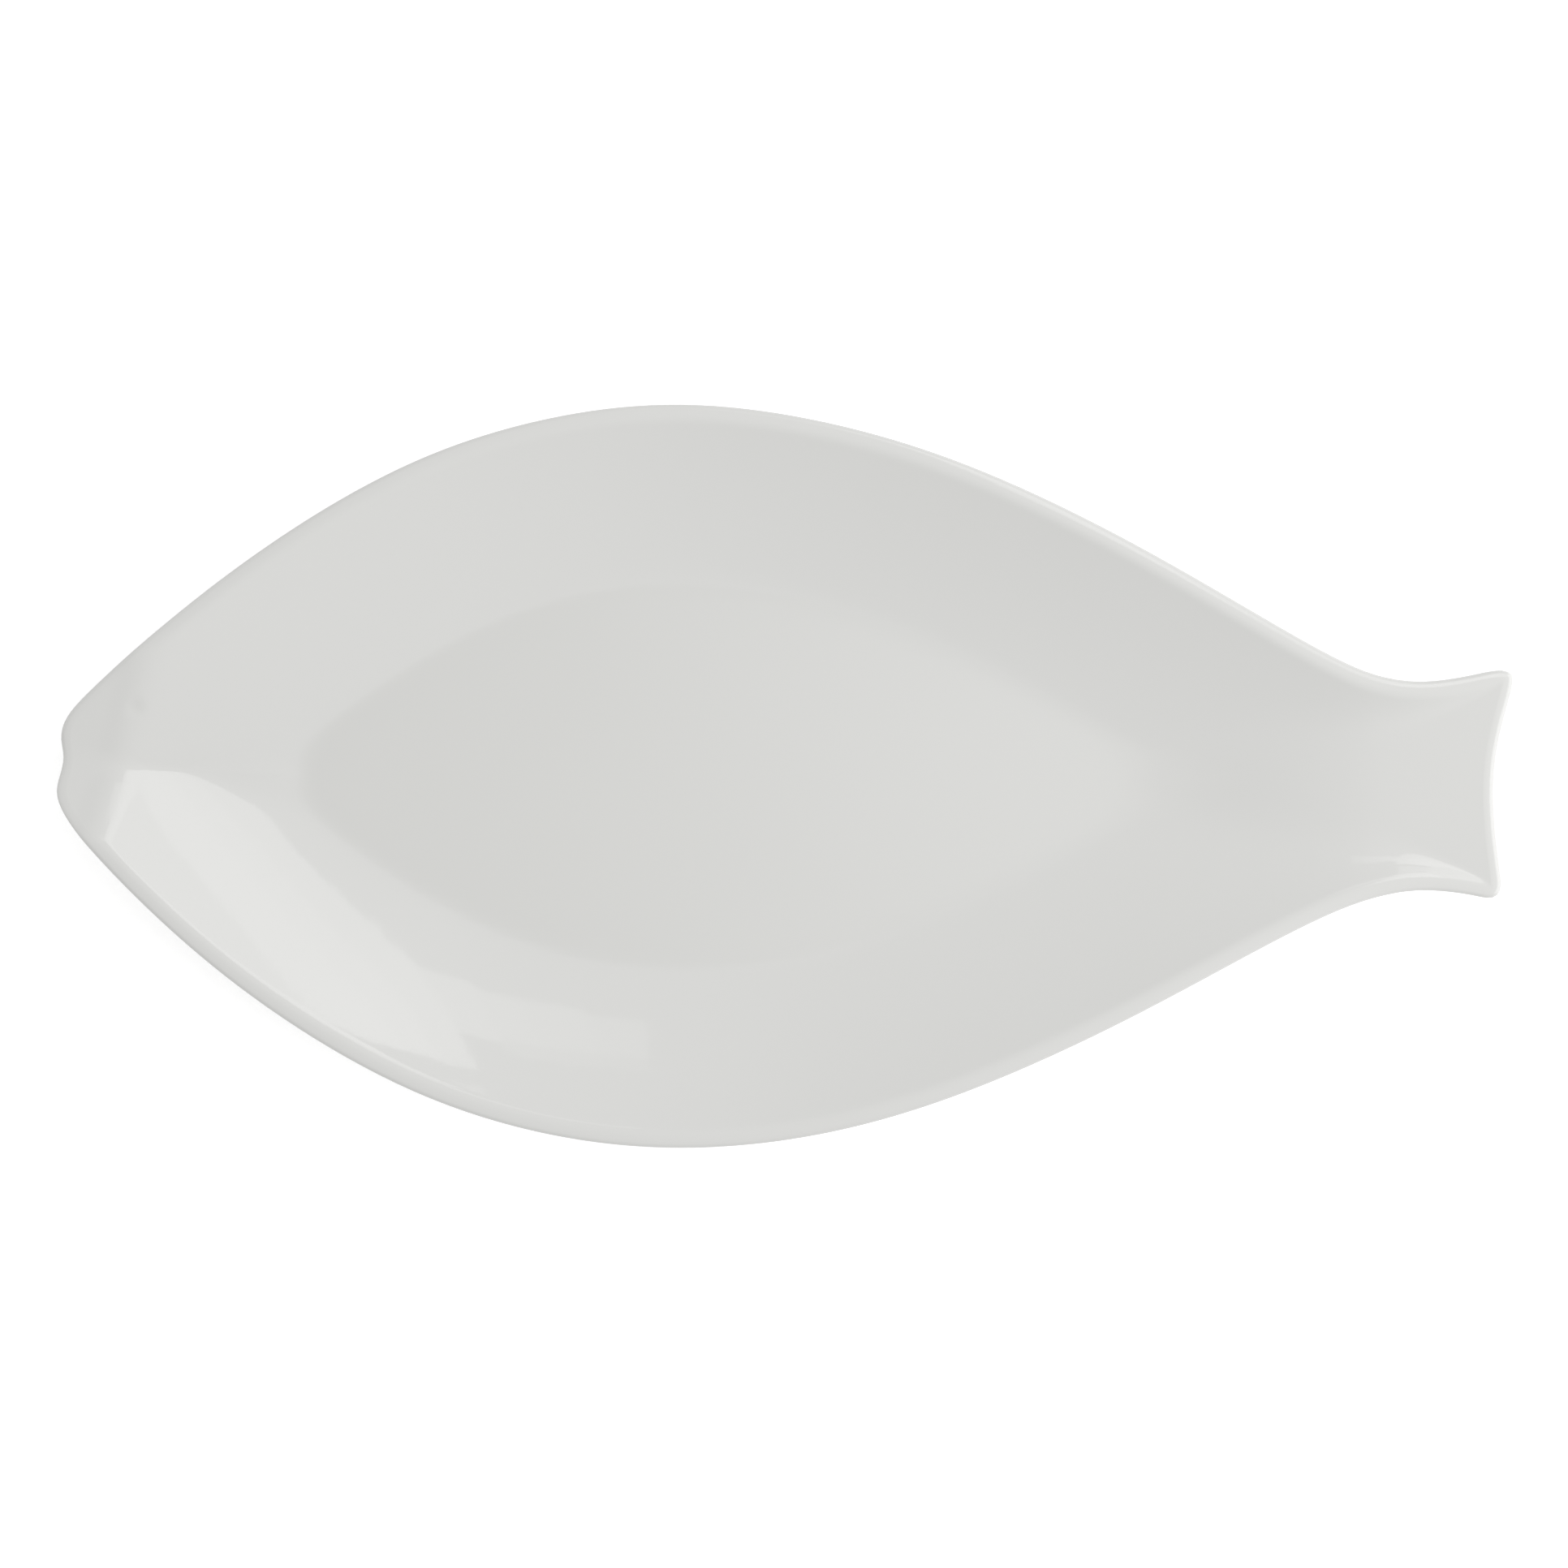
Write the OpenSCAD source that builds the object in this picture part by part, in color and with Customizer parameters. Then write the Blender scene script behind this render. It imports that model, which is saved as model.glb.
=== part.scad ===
// Fish shaped serving platter: a cast porcelain body with a glass coat.
// The head points to -X, the tail to +X, and the platter stands on its foot ring at Z = 0.
// Every solid is lofted from rails. A rail is a section from the rim in to a short spine under the well.

/* [Platter] */
// Length from the mouth to the tail, over the glaze
length = 406; // [340:1:480]
// Width across the belly, over the glaze
width = 207; // [190:1:245]

/* [Dish] */
// Depth of the well below the rim
dish_depth = 16; // [12:0.5:22]
// Width of the sloping wall, from the edge in to the flat well
wall_width = 52; // [44:1:60]
// Width of the bend between the wall and the well
bend_width = 5; // [3:0.5:10]
// Width over which the creases along the head and the neck are rounded
valley_round = 2.5; // [1.5:0.5:8]
// Width over which the two ends of the well are rounded
well_round = 40; // [10:1:50]
// Width over which the crease of the head is rounded at the mouth
mouth_round = 9; // [4:1:20]
// Depth of the flatter lip behind the mouth
snout_lip = 17; // [10:0.5:22]
// Width over which the wall turns into the lip
lip_round = 3; // [1.5:0.5:6]
// Height over which the wall turns into the rising neck
neck_round = 4; // [2:0.5:6]
// Thickness of the floor of the well, with its glaze
floor_thickness = 5.4; // [4:0.1:8]

/* [Rim] */
// Thickness of the rim, with its glaze
rim_thickness = 4.6; // [3.6:0.1:6]
// Width of the rounded edge, seen from above
rim_roll = 3; // [2:0.1:5]
// Width of the rounding under the edge
under_roll = 2.6; // [1.5:0.1:4]

/* [Foot] */
// Height of the base above the table
foot_height = 3; // [2:0.1:5]
// Width of the bare ring that stands on the table
foot_width = 4.2; // [3:0.1:6]
// Distance from the edge of the well in to the foot
foot_inset = 3; // [1.6:0.1:5]
// How far each flank of the foot leans
foot_draft = 1; // [0.4:0.1:1.5]
// Height of the bare strip on the flanks of the foot
bare_height = 0.9; // [0.5:0.1:1.5]

/* [Glaze] */
// Thickness of the glass coat
glaze_thickness = 0.4; // [0.2:0.05:0.6]

/* [Hidden] */

// How much of the foot is ground away to make it flat
foot_grind = 0.4;
// Width over which the wall turns into the top of the rim
crest_blend = 2.5;
// Clay left round the cut that grinds the foot
cut_margin = 5;

// Sides of the fish from head to tail: place along the length, upper edge and lower edge across the width
side_shares = [
    [-0.4763, 0.1156, -0.0966],
    [-0.4262, 0.2020, -0.1965],
    [-0.3538, 0.3102, -0.3114],
    [-0.2592, 0.4181, -0.4191],
    [-0.1645, 0.4799, -0.4803],
    [-0.0699, 0.5, -0.5],
    [0.0303, 0.4756, -0.4796],
    [0.1305, 0.4151, -0.4206],
    [0.2419, 0.3112, -0.3212],
    [0.3309, 0.2114, -0.2281],
    [0.3810, 0.1569, -0.1803],
    [0.4089, 0.1351, -0.1619],
    [0.4395, 0.1279, -0.1538],
    [0.4729, 0.1369, -0.1607]
];
// End of the tail, from its upper corner to its lower corner
tail_shares = [
    [0.4913, 0.1428],
    [0.4982, 0.1392],
    [0.5, 0.1286],
    [0.4935, 0.0757],
    [0.4866, -0.0213],
    [0.4913, -0.1293],
    [0.4918, -0.15],
    [0.4885, -0.1615],
    [0.4824, -0.1641]
];
// Mouth, from the lower lip over the notch to the upper lip
mouth_shares = [
    [-0.4952, -0.0479],
    [-0.5, -0.0202],
    [-0.4980, 0.0027],
    [-0.4959, 0.0267],
    [-0.4972, 0.0496],
    [-0.4940, 0.0757]
];
// How far the edge of the lip leans along the length, for each step across the width
lip_lean_share = 0.28;
// Part of the lip's depth over which the crease of the head smooths out
lip_ramp_share = 0.5;
// What a rounding takes off at the middle of a crease
crease_share = 1 / 6;
// Rise of the tail towards its end, for each step along it
tail_slope_share = 0.12;
// Where the rise of the neck ends and starts, from the end of the tail, against the length
neck_near_share = 0.0665;
neck_far_share = 0.278;
// Ends of the spine along the length
spine_head_share = -0.259;
spine_tail_share = 0.18;
// Rings of the wall, from the well out to the crest of the rim
wall_shares = [1, 0.95, 0.9, 0.78, 0.62, 0.46, 0.31, 0.17, 0.07, 0];
// Those of the rings that the underside has too, from the rim in
under_rings = [7, 5, 3, 1];
// Slope of the wall where it meets the bend, against its slope at the rim
inner_slope_share = 0.56;
// Where on the way down the wall the rounding of the creases starts to grow to that of the well
well_start_share = 0.5;
// Part of the rim's thickness that lies above its outermost line
edge_drop_share = 0.5;
// How square the top of the edge is rounded: at 1 it is a plain ellipse, and less is squarer
roll_share = 0.5;
// Angles of the rings on the rolled edge and on the rounding under it
roll_angles = [60, 30, 0];
under_angles = [45, 90];
// Rows of the sides where the rails start and stop moving along the spine
head_row = 2;
tail_row = 8;
// Rails for each stretch between two points of the outline
steps = 2;

rim_height = foot_height + floor_thickness + dish_depth;
well_height = foot_height + floor_thickness;
edge_drop = rim_thickness * edge_drop_share;
foot_edge = wall_width + foot_inset;
neck_near = neck_near_share * length;
neck_far = neck_far_share * length;
neck_rise = dish_depth + neck_round - tail_slope_share * neck_far;

function mix(a, b, t) = a + (b - a) * t;
function clamp(v, low, high) = max(low, min(high, v));
function unit(v) = v / norm(v);
function turned(v) = [-v[1], v[0]];
function reversed(v) = [for (i = [len(v) - 1:-1:0]) v[i]];

// Outline of the fish as a smooth closed curve through the points of the tables
rows = len(side_shares);
last_row = rows - 1;
points_xy = concat(
    [for (r = side_shares) [r[0] * length, r[1] * width]],
    [for (r = tail_shares) [r[0] * length, r[1] * width]],
    reversed([for (r = side_shares) [r[0] * length, r[2] * width]]),
    [for (r = mouth_shares) [r[0] * length, r[1] * width]]);
corners = len(points_xy);
lower_start = rows + len(tail_shares);
lower_end = lower_start + last_row;

// Point at share t of the curve from b to c, with a before and d after them
function curve_point(a, b, c, d, t) =
    let (ka = sqrt(norm(b - a)),
         kb = sqrt(norm(c - b)),
         kc = sqrt(norm(d - c)),
         leave = kb * ((b - a) / ka - (c - a) / (ka + kb)) + c - b,
         arrive = kb * ((d - c) / kc - (d - b) / (kb + kc)) + c - b)
    b * (2 * t ^ 3 - 3 * t ^ 2 + 1) + leave * (t ^ 3 - 2 * t ^ 2 + t)
    + c * (3 * t ^ 2 - 2 * t ^ 3) + arrive * (t ^ 3 - t ^ 2);

function outline_point(k, t) = curve_point(
    points_xy[(k + corners - 1) % corners],
    points_xy[k],
    points_xy[(k + 1) % corners],
    points_xy[(k + 2) % corners],
    t);

rails = corners * steps;
outline = [for (k = [0:corners - 1]) for (i = [0:steps - 1]) outline_point(k, i / steps)];
function stretch(from, to) = [for (i = [from * steps:to * steps]) outline[i % rails]];
upper_line = stretch(0, rows);
tail_line = stretch(rows, lower_start - 1);
lower_line = stretch(lower_start - 1, lower_end);

// Spine under the well: rails of the head meet at its first point, and rails of the tail at its last
spine_first = head_row * steps;
spine_last = tail_row * steps;
spine_points = spine_last - spine_first + 1;
function side_place(i) =
    i <= last_row * steps ? i :
    i < lower_start * steps ? spine_last :
    i <= lower_end * steps ? lower_end * steps - i : spine_first;
function spine_index(i) = clamp(side_place(i % rails), spine_first, spine_last) - spine_first;
spine = [for (i = [0:spine_points - 1])
    [mix(spine_head_share, spine_tail_share, i / (spine_points - 1)) * length, 0]];

// Each rail: its start on the outline, its direction and its length
starts = outline;
ends = [for (i = [0:rails - 1]) spine[spine_index(i)]];
aims = [for (i = [0:rails - 1]) unit(ends[i] - starts[i])];
spans = [for (i = [0:rails - 1]) norm(ends[i] - starts[i])];
head_span = (spans[spine_first] + spans[lower_end * steps - spine_first]) / 2;
tail_span = (spans[spine_last] + spans[lower_end * steps - spine_last]) / 2;

// Place on rail i of a loop that lies this far inside the edge along the sides
function reach(i, inside) =
    let (place = side_place(i))
    place <= spine_first ? spans[i] - head_span + inside :
    place >= spine_last ? spans[i] - tail_span + inside : inside;

// Distance from p to a line of points, and a minimum that is rounded over the width k
function gap(p, a, b) =
    let (run = b - a, t = clamp((p - a) * run / (run * run), 0, 1))
    norm(p - a - run * t);
function distance(p, line) = min([for (i = [0:len(line) - 2]) gap(p, line[i], line[i + 1])]);
function soft_min(a, b, k) = min(a, b) - (k > 0 ? max(k - abs(a - b), 0) ^ 3 / (6 * k ^ 2) : 0);
function soft_max(a, b, k) = -soft_min(-a, -b, k);

function ease(t) = t ^ 2 * (3 - 2 * t);

// How far p lies out over the lip, where the dish keeps its depth and runs flat out through the mouth
function over_lip(p) = soft_max(snout_lip - length / 2 + p[1] * lip_lean_share - p[0], 0, lip_round);
// How far p lies inside the crest of the rim
function inside_crest(p) =
    let (over = over_lip(p),
         upper = distance(p + [over, 0], upper_line),
         lower = distance(p + [over, 0], lower_line),
         down = (min(upper, lower) / wall_width - well_start_share) / (1 - well_start_share),
         deep = ease(clamp(down, 0, 1)),
         flat = ease(clamp(over / (snout_lip * lip_ramp_share), 0, 1)),
         in_well = (well_round - valley_round) * deep,
         in_mouth = (mouth_round - valley_round) * flat)
    soft_min(upper, lower, valley_round + max(in_well, in_mouth)) + in_mouth * crease_share - rim_roll;

// Fall of the wall: its slope grows at the crest, eases down the wall and runs out in the bend
wall_run = wall_width - rim_roll - crest_blend - bend_width;
rim_slope = dish_depth / (crest_blend / 2 + (1 + inner_slope_share) * wall_run / 2
    + inner_slope_share * bend_width / 2);
inner_slope = rim_slope * inner_slope_share;
function crest_fall(e) = rim_slope * e ^ 2 / (2 * crest_blend);
function wall_fall(e) = rim_slope * e - (rim_slope - inner_slope) * e ^ 2 / (2 * wall_run);
function bend_fall(e) = inner_slope * e - inner_slope * e ^ 2 / (2 * bend_width);
function fall(e) = crest_fall(clamp(e, 0, crest_blend))
    + wall_fall(clamp(e - crest_blend, 0, wall_run))
    + bend_fall(clamp(e - crest_blend - wall_run, 0, bend_width));

// Depth that the dish keeps to on its way up the neck and out to the end of the tail
function tail_limit(p) =
    let (inside = max(distance(p, tail_line) - rim_roll, 0))
    inside * tail_slope_share + neck_rise * ease(clamp((inside - neck_near) / (neck_far - neck_near), 0, 1));

// Height of the glazed top on rail i, at the distance s in from the edge
function top_height(i, s) =
    let (p = starts[i] + aims[i] * s, limit = tail_limit(p))
    rim_height - soft_min(fall(inside_crest(p)), limit, min(limit, neck_round));

// Rings of the wall on rail i, as [distance in from the edge, height]
function wall_ring(i, share) =
    let (s = mix(rim_roll, reach(i, wall_width), share))
    [s, top_height(i, s)];
wall_rings = [for (i = [0:rails - 1]) [for (share = wall_shares) wall_ring(i, share)]];

// Glazed section over the top, round the rim and down to the bare strip of the foot
function top_section(i) = concat(
    wall_rings[i],
    [for (a = roll_angles)
        let (s = rim_roll * (1 - cos(a) ^ roll_share))
        [s, top_height(i, s) - edge_drop * (1 - sin(a) ^ roll_share)]],
    [for (a = under_angles)
        let (s = under_roll * (1 - cos(a)))
        [s, top_height(i, s) - edge_drop - (rim_thickness - edge_drop) * sin(a)]],
    [for (k = under_rings)
        wall_rings[i][k] - [0, mix(rim_thickness, floor_thickness, wall_shares[k])]],
    [[reach(i, foot_edge - foot_draft), foot_height],
     [reach(i, foot_edge - foot_draft * bare_height / foot_height), bare_height]]);

// Glazed section inside the foot, from its bare strip up to the base
function base_section(i) =
    let (inner_edge = foot_edge + foot_width)
    [[reach(i, inner_edge + foot_draft * bare_height / foot_height), bare_height],
     [reach(i, inner_edge + foot_draft), foot_height]];

// Bare foot, with the clay that is ground away
function foot_section(i) = [
    [reach(i, foot_edge), -foot_grind],
    [reach(i, foot_edge + foot_width), -foot_grind]];

// The same section one coat of glaze deeper
function under_glaze(line) = [for (k = [0:len(line) - 1])
    let (before = line[max(k - 1, 0)], after = line[min(k + 1, len(line) - 1)])
    line[k] + turned(unit(after - before)) * glaze_thickness];

// Solid between neighbouring rails, closed over the spine at the two heights
module loft(sections, first_height, last_height) {
    count = len(sections[0]);
    first_spine = rails * count;
    last_spine = first_spine + spine_points;
    vertices = concat(
        [for (i = [0:rails - 1]) for (p = sections[i]) concat(starts[i] + aims[i] * p[0], p[1])],
        [for (p = spine) concat(p, first_height)],
        [for (p = spine) concat(p, last_height)]);
    function at(i, j) = (i % rails) * count + j;
    // Each four-sided patch is split along its shorter diagonal, so that touching solids split alike
    function split(a, b, c, d) =
        norm(vertices[a] - vertices[d]) < norm(vertices[b] - vertices[c]) ?
            [[a, b, d], [a, d, c]] : [[a, b, c], [c, b, d]];
    sides = [for (i = [0:rails - 1]) for (j = [0:count - 2])
        each split(at(i, j), at(i, j + 1), at(i + 1, j), at(i + 1, j + 1))];
    function cap(i, j, base) =
        let (here = base + spine_index(i), next = base + spine_index(i + 1))
        concat([[at(i, j), at(i + 1, j), next]], here == next ? [] : [[at(i, j), next, here]]);
    first_cap = [for (i = [0:rails - 1]) each cap(i, 0, first_spine)];
    last_cap = [for (i = [0:rails - 1]) for (f = cap(i, count - 1, last_spine)) reversed(f)];
    polyhedron(vertices, concat(sides, first_cap, last_cap));
}

module porcelain_body() {
    color("ivory")
        difference() {
            loft([for (i = [0:rails - 1]) concat(
                    under_glaze(top_section(i)), foot_section(i), under_glaze(base_section(i)))],
                well_height - glaze_thickness,
                foot_height + glaze_thickness);
            translate([-length / 2, -width / 2, -foot_grind - cut_margin])
                cube([length, width, foot_grind + cut_margin]);
        }
}

module glaze_coat() {
    color("whitesmoke")
        loft([for (i = [0:rails - 1]) concat(top_section(i), reversed(under_glaze(top_section(i))))],
            well_height,
            well_height - glaze_thickness);
}

module base_glaze() {
    color("whitesmoke")
        loft([for (i = [0:rails - 1]) concat(
                reversed(under_glaze(base_section(i))), base_section(i))],
            foot_height + glaze_thickness,
            foot_height);
}

porcelain_body();
glaze_coat();
base_glaze();
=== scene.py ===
import math

import bmesh
import bpy
import numpy as np
from bpy.props import FloatProperty, FloatVectorProperty, IntProperty, PointerProperty
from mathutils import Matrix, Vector


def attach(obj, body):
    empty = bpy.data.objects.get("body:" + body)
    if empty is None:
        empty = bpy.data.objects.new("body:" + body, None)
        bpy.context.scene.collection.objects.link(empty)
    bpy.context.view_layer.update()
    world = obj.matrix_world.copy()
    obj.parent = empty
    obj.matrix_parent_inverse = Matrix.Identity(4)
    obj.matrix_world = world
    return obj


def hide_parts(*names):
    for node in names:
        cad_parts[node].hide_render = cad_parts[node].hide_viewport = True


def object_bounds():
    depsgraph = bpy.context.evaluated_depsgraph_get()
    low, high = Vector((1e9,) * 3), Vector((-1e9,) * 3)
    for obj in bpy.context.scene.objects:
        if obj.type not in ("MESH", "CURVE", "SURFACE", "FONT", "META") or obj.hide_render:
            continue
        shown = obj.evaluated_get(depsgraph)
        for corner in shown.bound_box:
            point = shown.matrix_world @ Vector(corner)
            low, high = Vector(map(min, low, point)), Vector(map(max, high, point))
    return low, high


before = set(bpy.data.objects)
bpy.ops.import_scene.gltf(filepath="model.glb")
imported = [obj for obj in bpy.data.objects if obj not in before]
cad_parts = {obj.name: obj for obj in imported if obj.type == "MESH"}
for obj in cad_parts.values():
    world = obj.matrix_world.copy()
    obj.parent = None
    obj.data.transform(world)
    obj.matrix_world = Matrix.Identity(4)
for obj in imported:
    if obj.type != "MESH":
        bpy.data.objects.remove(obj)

bl_info = {
    "name": "Fish Platter",
    "version": (1, 0, 0),
    "blender": (4, 5, 0),
    "location": "View3D > Sidebar > Platter",
    "description": "A fish shaped serving platter in glazed porcelain, with its studio",
    "category": "Add Mesh",
}

CAD_LOW, CAD_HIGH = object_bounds()
LENGTH = CAD_HIGH.x - CAD_LOW.x
WIDTH = CAD_HIGH.y - CAD_LOW.y
RIM_HEIGHT = CAD_HIGH.z
BODY = "root"
MM = 0.001

# Outline of the fish, as shares of its length and width.
# Sides from head to tail: place along the length, upper edge and lower edge across the width.
SIDE_SHARES = (
    (-0.4763, 0.1156, -0.0966),
    (-0.4262, 0.2020, -0.1965),
    (-0.3538, 0.3102, -0.3114),
    (-0.2592, 0.4181, -0.4191),
    (-0.1645, 0.4799, -0.4803),
    (-0.0699, 0.5, -0.5),
    (0.0303, 0.4756, -0.4796),
    (0.1305, 0.4151, -0.4206),
    (0.2419, 0.3112, -0.3212),
    (0.3309, 0.2114, -0.2281),
    (0.3810, 0.1569, -0.1803),
    (0.4089, 0.1351, -0.1619),
    (0.4395, 0.1279, -0.1538),
    (0.4729, 0.1369, -0.1607),
)
# End of the tail, from its upper corner to its lower corner.
TAIL_SHARES = (
    (0.4913, 0.1428),
    (0.4982, 0.1392),
    (0.5, 0.1286),
    (0.4935, 0.0757),
    (0.4866, -0.0213),
    (0.4913, -0.1293),
    (0.4918, -0.15),
    (0.4885, -0.1615),
    (0.4824, -0.1641),
)
# Mouth, from the lower lip over the notch to the upper lip.
MOUTH_SHARES = (
    (-0.4952, -0.0479),
    (-0.5, -0.0202),
    (-0.4980, 0.0027),
    (-0.4959, 0.0267),
    (-0.4972, 0.0496),
    (-0.4940, 0.0757),
)
UPPER, TAIL, LOWER, MOUTH = range(4)
# Points of the tables in the middle of the mouth and of the tail's end.
NOSE_POINT = 2
TAIL_POINT = 4
# Rails of the top end on a backbone, which bends to one side.
# Rows of the outline, ends of the rails along the backbone, and its bends.
BACKBONE_ROWS = (-0.4763, 0.4824)
BACKBONE_ENDS = (-0.435, 0.43)
BEND_ENDS = (-0.435, -0.3, 0.1, 0.4)
BEND_SHARES = (0.004, 0, 0, -0.013)
# Rails of the underside fan round a spine inside the foot.
# Rows of the outline between which they move along the spine, and its ends.
HEAD_ROW_SHARE = -0.3538
TAIL_ROW_SHARE = 0.2419
SPINE_HEAD_SHARE = -0.259
SPINE_TAIL_SHARE = 0.18
FAN_EVENING_SHARE = 0.05
# How far they run on over the flat base inside the foot.
BASE_MARGIN = 3 * MM
# How far the edge of the lip leans along the length, for each step across the width.
LIP_LEAN_SHARE = 0.28
# Part of the lip's depth over which the crease of the head smooths out.
LIP_RAMP_SHARE = 0.5
# What a rounding takes off at the middle of a crease, as a share of its width.
CREASE_SHARE = 1 / 6
# Stretch of edge over which the way in turns through a corner.
CORNER_SPREAD = 8 * MM
# Centre of the eye, pressed into the head, and how its dimple rounds out to its edge.
EYE_PLACE = (-0.4446 * LENGTH, 0.0932 * WIDTH, 0)
EYE_POWER = 1.5
# Where the rise of the neck ends and starts, from the end of the tail.
NECK_NEAR_SHARE = 0.0665
NECK_FAR_SHARE = 0.278
# Where on the way down the wall the rounding of the creases starts to grow, and where it is that of the well.
WELL_START_SHARE = 0.6
WELL_END_SHARE = 1.1

# Rings of the sheets, and how far those of the wider sheets crowd to both ends.
TOP_RINGS, RIM_RINGS, UNDER_RINGS, FOOT_RINGS, BASE_RINGS = 50, 11, 20, 24, 14
TOP_CROWDING, UNDER_CROWDING, FOOT_CROWDING = 0.6, 0.85, 0.7
# How far the rings of the base crowd to the foot.
BASE_POWER = 1.6
# Rounding of the foot's two edges on the table.
FOOT_EDGE_ROUND = 0.5 * MM
# Points nearer than this are joined.
JOIN_DISTANCE = 0.0004 * MM

# Height above the floor of the well where the painted shade of the well ends.
WELL_SHADE_HEIGHT = 0.4 * MM
# Painted shade of the well, darker towards the head's end, and of the eye's dimple.
# Ends of the well along the length, how strong the painted shade is at each, and how strong in the eye.
WELL_SHADE_ENDS = (-90 * MM, 60 * MM)
WELL_SHADE_STRENGTHS = (0.9, 0.2)
EYE_SHADE_STRENGTH = 0.6
# Thinner and thicker places of the coat, which darken it at random: their size, what they add to the
# darkening, and where they start.
CLOUD_SIZE = 70 * MM
CLOUD_DEPTH = 0.4
CLOUD_START = 0.25
# Specks: size of the cells that may hold one, radius as a share of that, share of cells with none, strength.
SPECK_CELL = 38 * MM
SPECK_RADIUS_SHARE = 0.011
SPECK_FREE_SHARE = 0.86
SPECK_STRENGTH = 0.7
# Roughness of the glaze: the least, the range over it and the size of its patches.
GLAZE_ROUGHNESS = 0.03
GLAZE_ROUGHNESS_RANGE = 0.03
GLAZE_PATCH_SIZE = 25 * MM
# Waves of the glaze and the smaller ripples on them, as a share of their height.
WAVE_SIZE = 26 * MM
WAVE_HEIGHT = 0.06 * MM
RIPPLE_SIZE = 6 * MM
RIPPLE_SHARE = 0.15
# How far the glaze bends light.
GLASS_IOR = 1.5
# Grain of the bare clay, its share of the shade, and the clouds that make up the rest.
GRAIN_SIZE = 1.2 * MM
GRAIN_HEIGHT = 0.08 * MM
GRAIN_STRENGTH = 0.6
GRAIN_SHARE = 0.6
CLAY_CLOUD_SIZE = 22 * MM
CLAY_ROUGHNESS = 0.72
CLAY_ROUGHNESS_RANGE = 0.2

# The photograph in pixels: width of its frame, length of the platter, and how far the frame's centre
# lies to the right of the platter's and above it.
PHOTO_WIDTH = 1932
PHOTO_LENGTH = 1796.3
PHOTO_SHIFT = (0.45, -9.55)
# Half the side of the paper, its white, and what is added to that where it is the background.
PAPER_REACH = 6.0
PAPER_WHITE = 0.9
PAPER_LIFT = 0.46
# Side light and fill light, which face the platter: place and size.
SIDE_LIGHT = ((1.32, 0.0, 0.927), (2.04, 1.36))
FILL_LIGHT = ((-1.35, 0.53, 0.68), (1.6, 0.8))
# Height of the softbox above the table.
SOFTBOX_HEIGHT = 1.0
# Its strips: left and right end, near and far end, and share of its brightness.
SOFTBOX_STRIPS = (
    (-0.02, 0.03, 0.56, 0.67, 0.3),
    (-0.02, 0.03, 0.67, 0.71, 0.15),
    (0.03, 0.08, 0.55, 0.67, 0.38),
    (0.03, 0.08, 0.67, 0.71, 0.19),
    (0.08, 0.12, 0.55, 0.67, 0.44),
    (0.08, 0.12, 0.67, 0.71, 0.22),
    (0.12, 0.165, 0.54, 0.68, 0.52),
    (0.165, 0.21, 0.25, 0.78, 0.74),
    (0.21, 0.25, 0.25, 0.78, 0.9),
    (0.25, 0.33, 0.25, 0.78, 1.0),
    (0.17, 0.33, 0.84, 1.0, 0.45),
    (0.33, 0.47, 0.25, 1.0, 0.65),
    (0.47, 0.61, 0.25, 1.0, 0.5),
)


def length(name, default, description):
    return FloatProperty(
        name=name, description=description, default=default, min=0.0, unit="LENGTH", precision=5)


def share(name, default, description):
    return FloatProperty(name=name, description=description, default=default, min=0.0, subtype="FACTOR")


class PlatterSizes(bpy.types.PropertyGroup):
    """Sizes of the dish, its rim and its foot"""
    rails: IntProperty(name="Rails", description="Sections round the outline", default=600, min=90)
    rim_height: length("Rim Height", RIM_HEIGHT, "Height of the rim above the table")
    dish_depth: length("Dish Depth", 16 * MM, "Depth of the well below the rim")
    wall_width: length("Wall Width", 52 * MM, "Width of the sloping wall, from the edge in to the well")
    bend_width: length("Bend Width", 5 * MM, "Width of the bend between wall and well")
    crest_blend: length("Crest Blend", 2.5 * MM, "Width over which the wall turns into the rim")
    inner_slope: share("Inner Slope", 0.56, "Slope of the wall at the bend, against its slope at the rim")
    valley_round: length("Valley Rounding", 2.5 * MM, "Width over which creases of head and neck are rounded")
    well_round: length("Well Rounding", 40 * MM, "Width over which the two ends of the well are rounded")
    mouth_round: length("Mouth Rounding", 9 * MM, "Width of the rounding of the head's crease at the mouth")
    snout_lip: length("Snout Lip", 17 * MM, "Depth of the flatter lip behind the mouth")
    lip_round: length("Lip Rounding", 8 * MM, "Width over which the wall turns into the lip")
    tail_slope: share("Tail Slope", 0.12, "Rise of the tail towards its end, for each step along it")
    neck_round: length("Neck Rounding", 4 * MM, "Height over which the wall turns into the rising neck")
    eye_width: length("Eye Width", 6.2 * MM, "Width of the dimple of the eye")
    eye_depth: length("Eye Depth", 0.3 * MM, "Depth of the dimple of the eye")
    rim_roll: length("Rim Roll", 3 * MM, "Width of the rounded edge, seen from above")
    roll_power: share("Roll Power", 0.5, "At 1 the top of the edge is a plain ellipse, and less is squarer")
    under_roll: length("Under Roll", 2.6 * MM, "Width of the rounding under the edge")
    rim_thickness: length("Rim Thickness", 4.6 * MM, "Thickness of the rim")
    floor_thickness: length("Floor Thickness", 5.4 * MM, "Thickness of the floor of the well")
    foot_height: length("Foot Height", 3 * MM, "Height of the base above the table")
    foot_inset: length("Foot Inset", 3 * MM, "Distance from the edge of the well in to the foot")
    foot_width: length("Foot Width", 4.2 * MM, "Width of the bare ring that stands on the table")
    foot_draft: length("Foot Draft", 1 * MM, "How far each flank of the foot leans")
    foot_round: length("Foot Rounding", 1.6 * MM, "Rounding between the foot and the base")
    bare_height: length("Bare Height", 0.9 * MM, "Height of the bare strip on the flanks of the foot")
    glaze_thickness: length("Glaze Thickness", 0.4 * MM, "Thickness of the glass coat")


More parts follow.
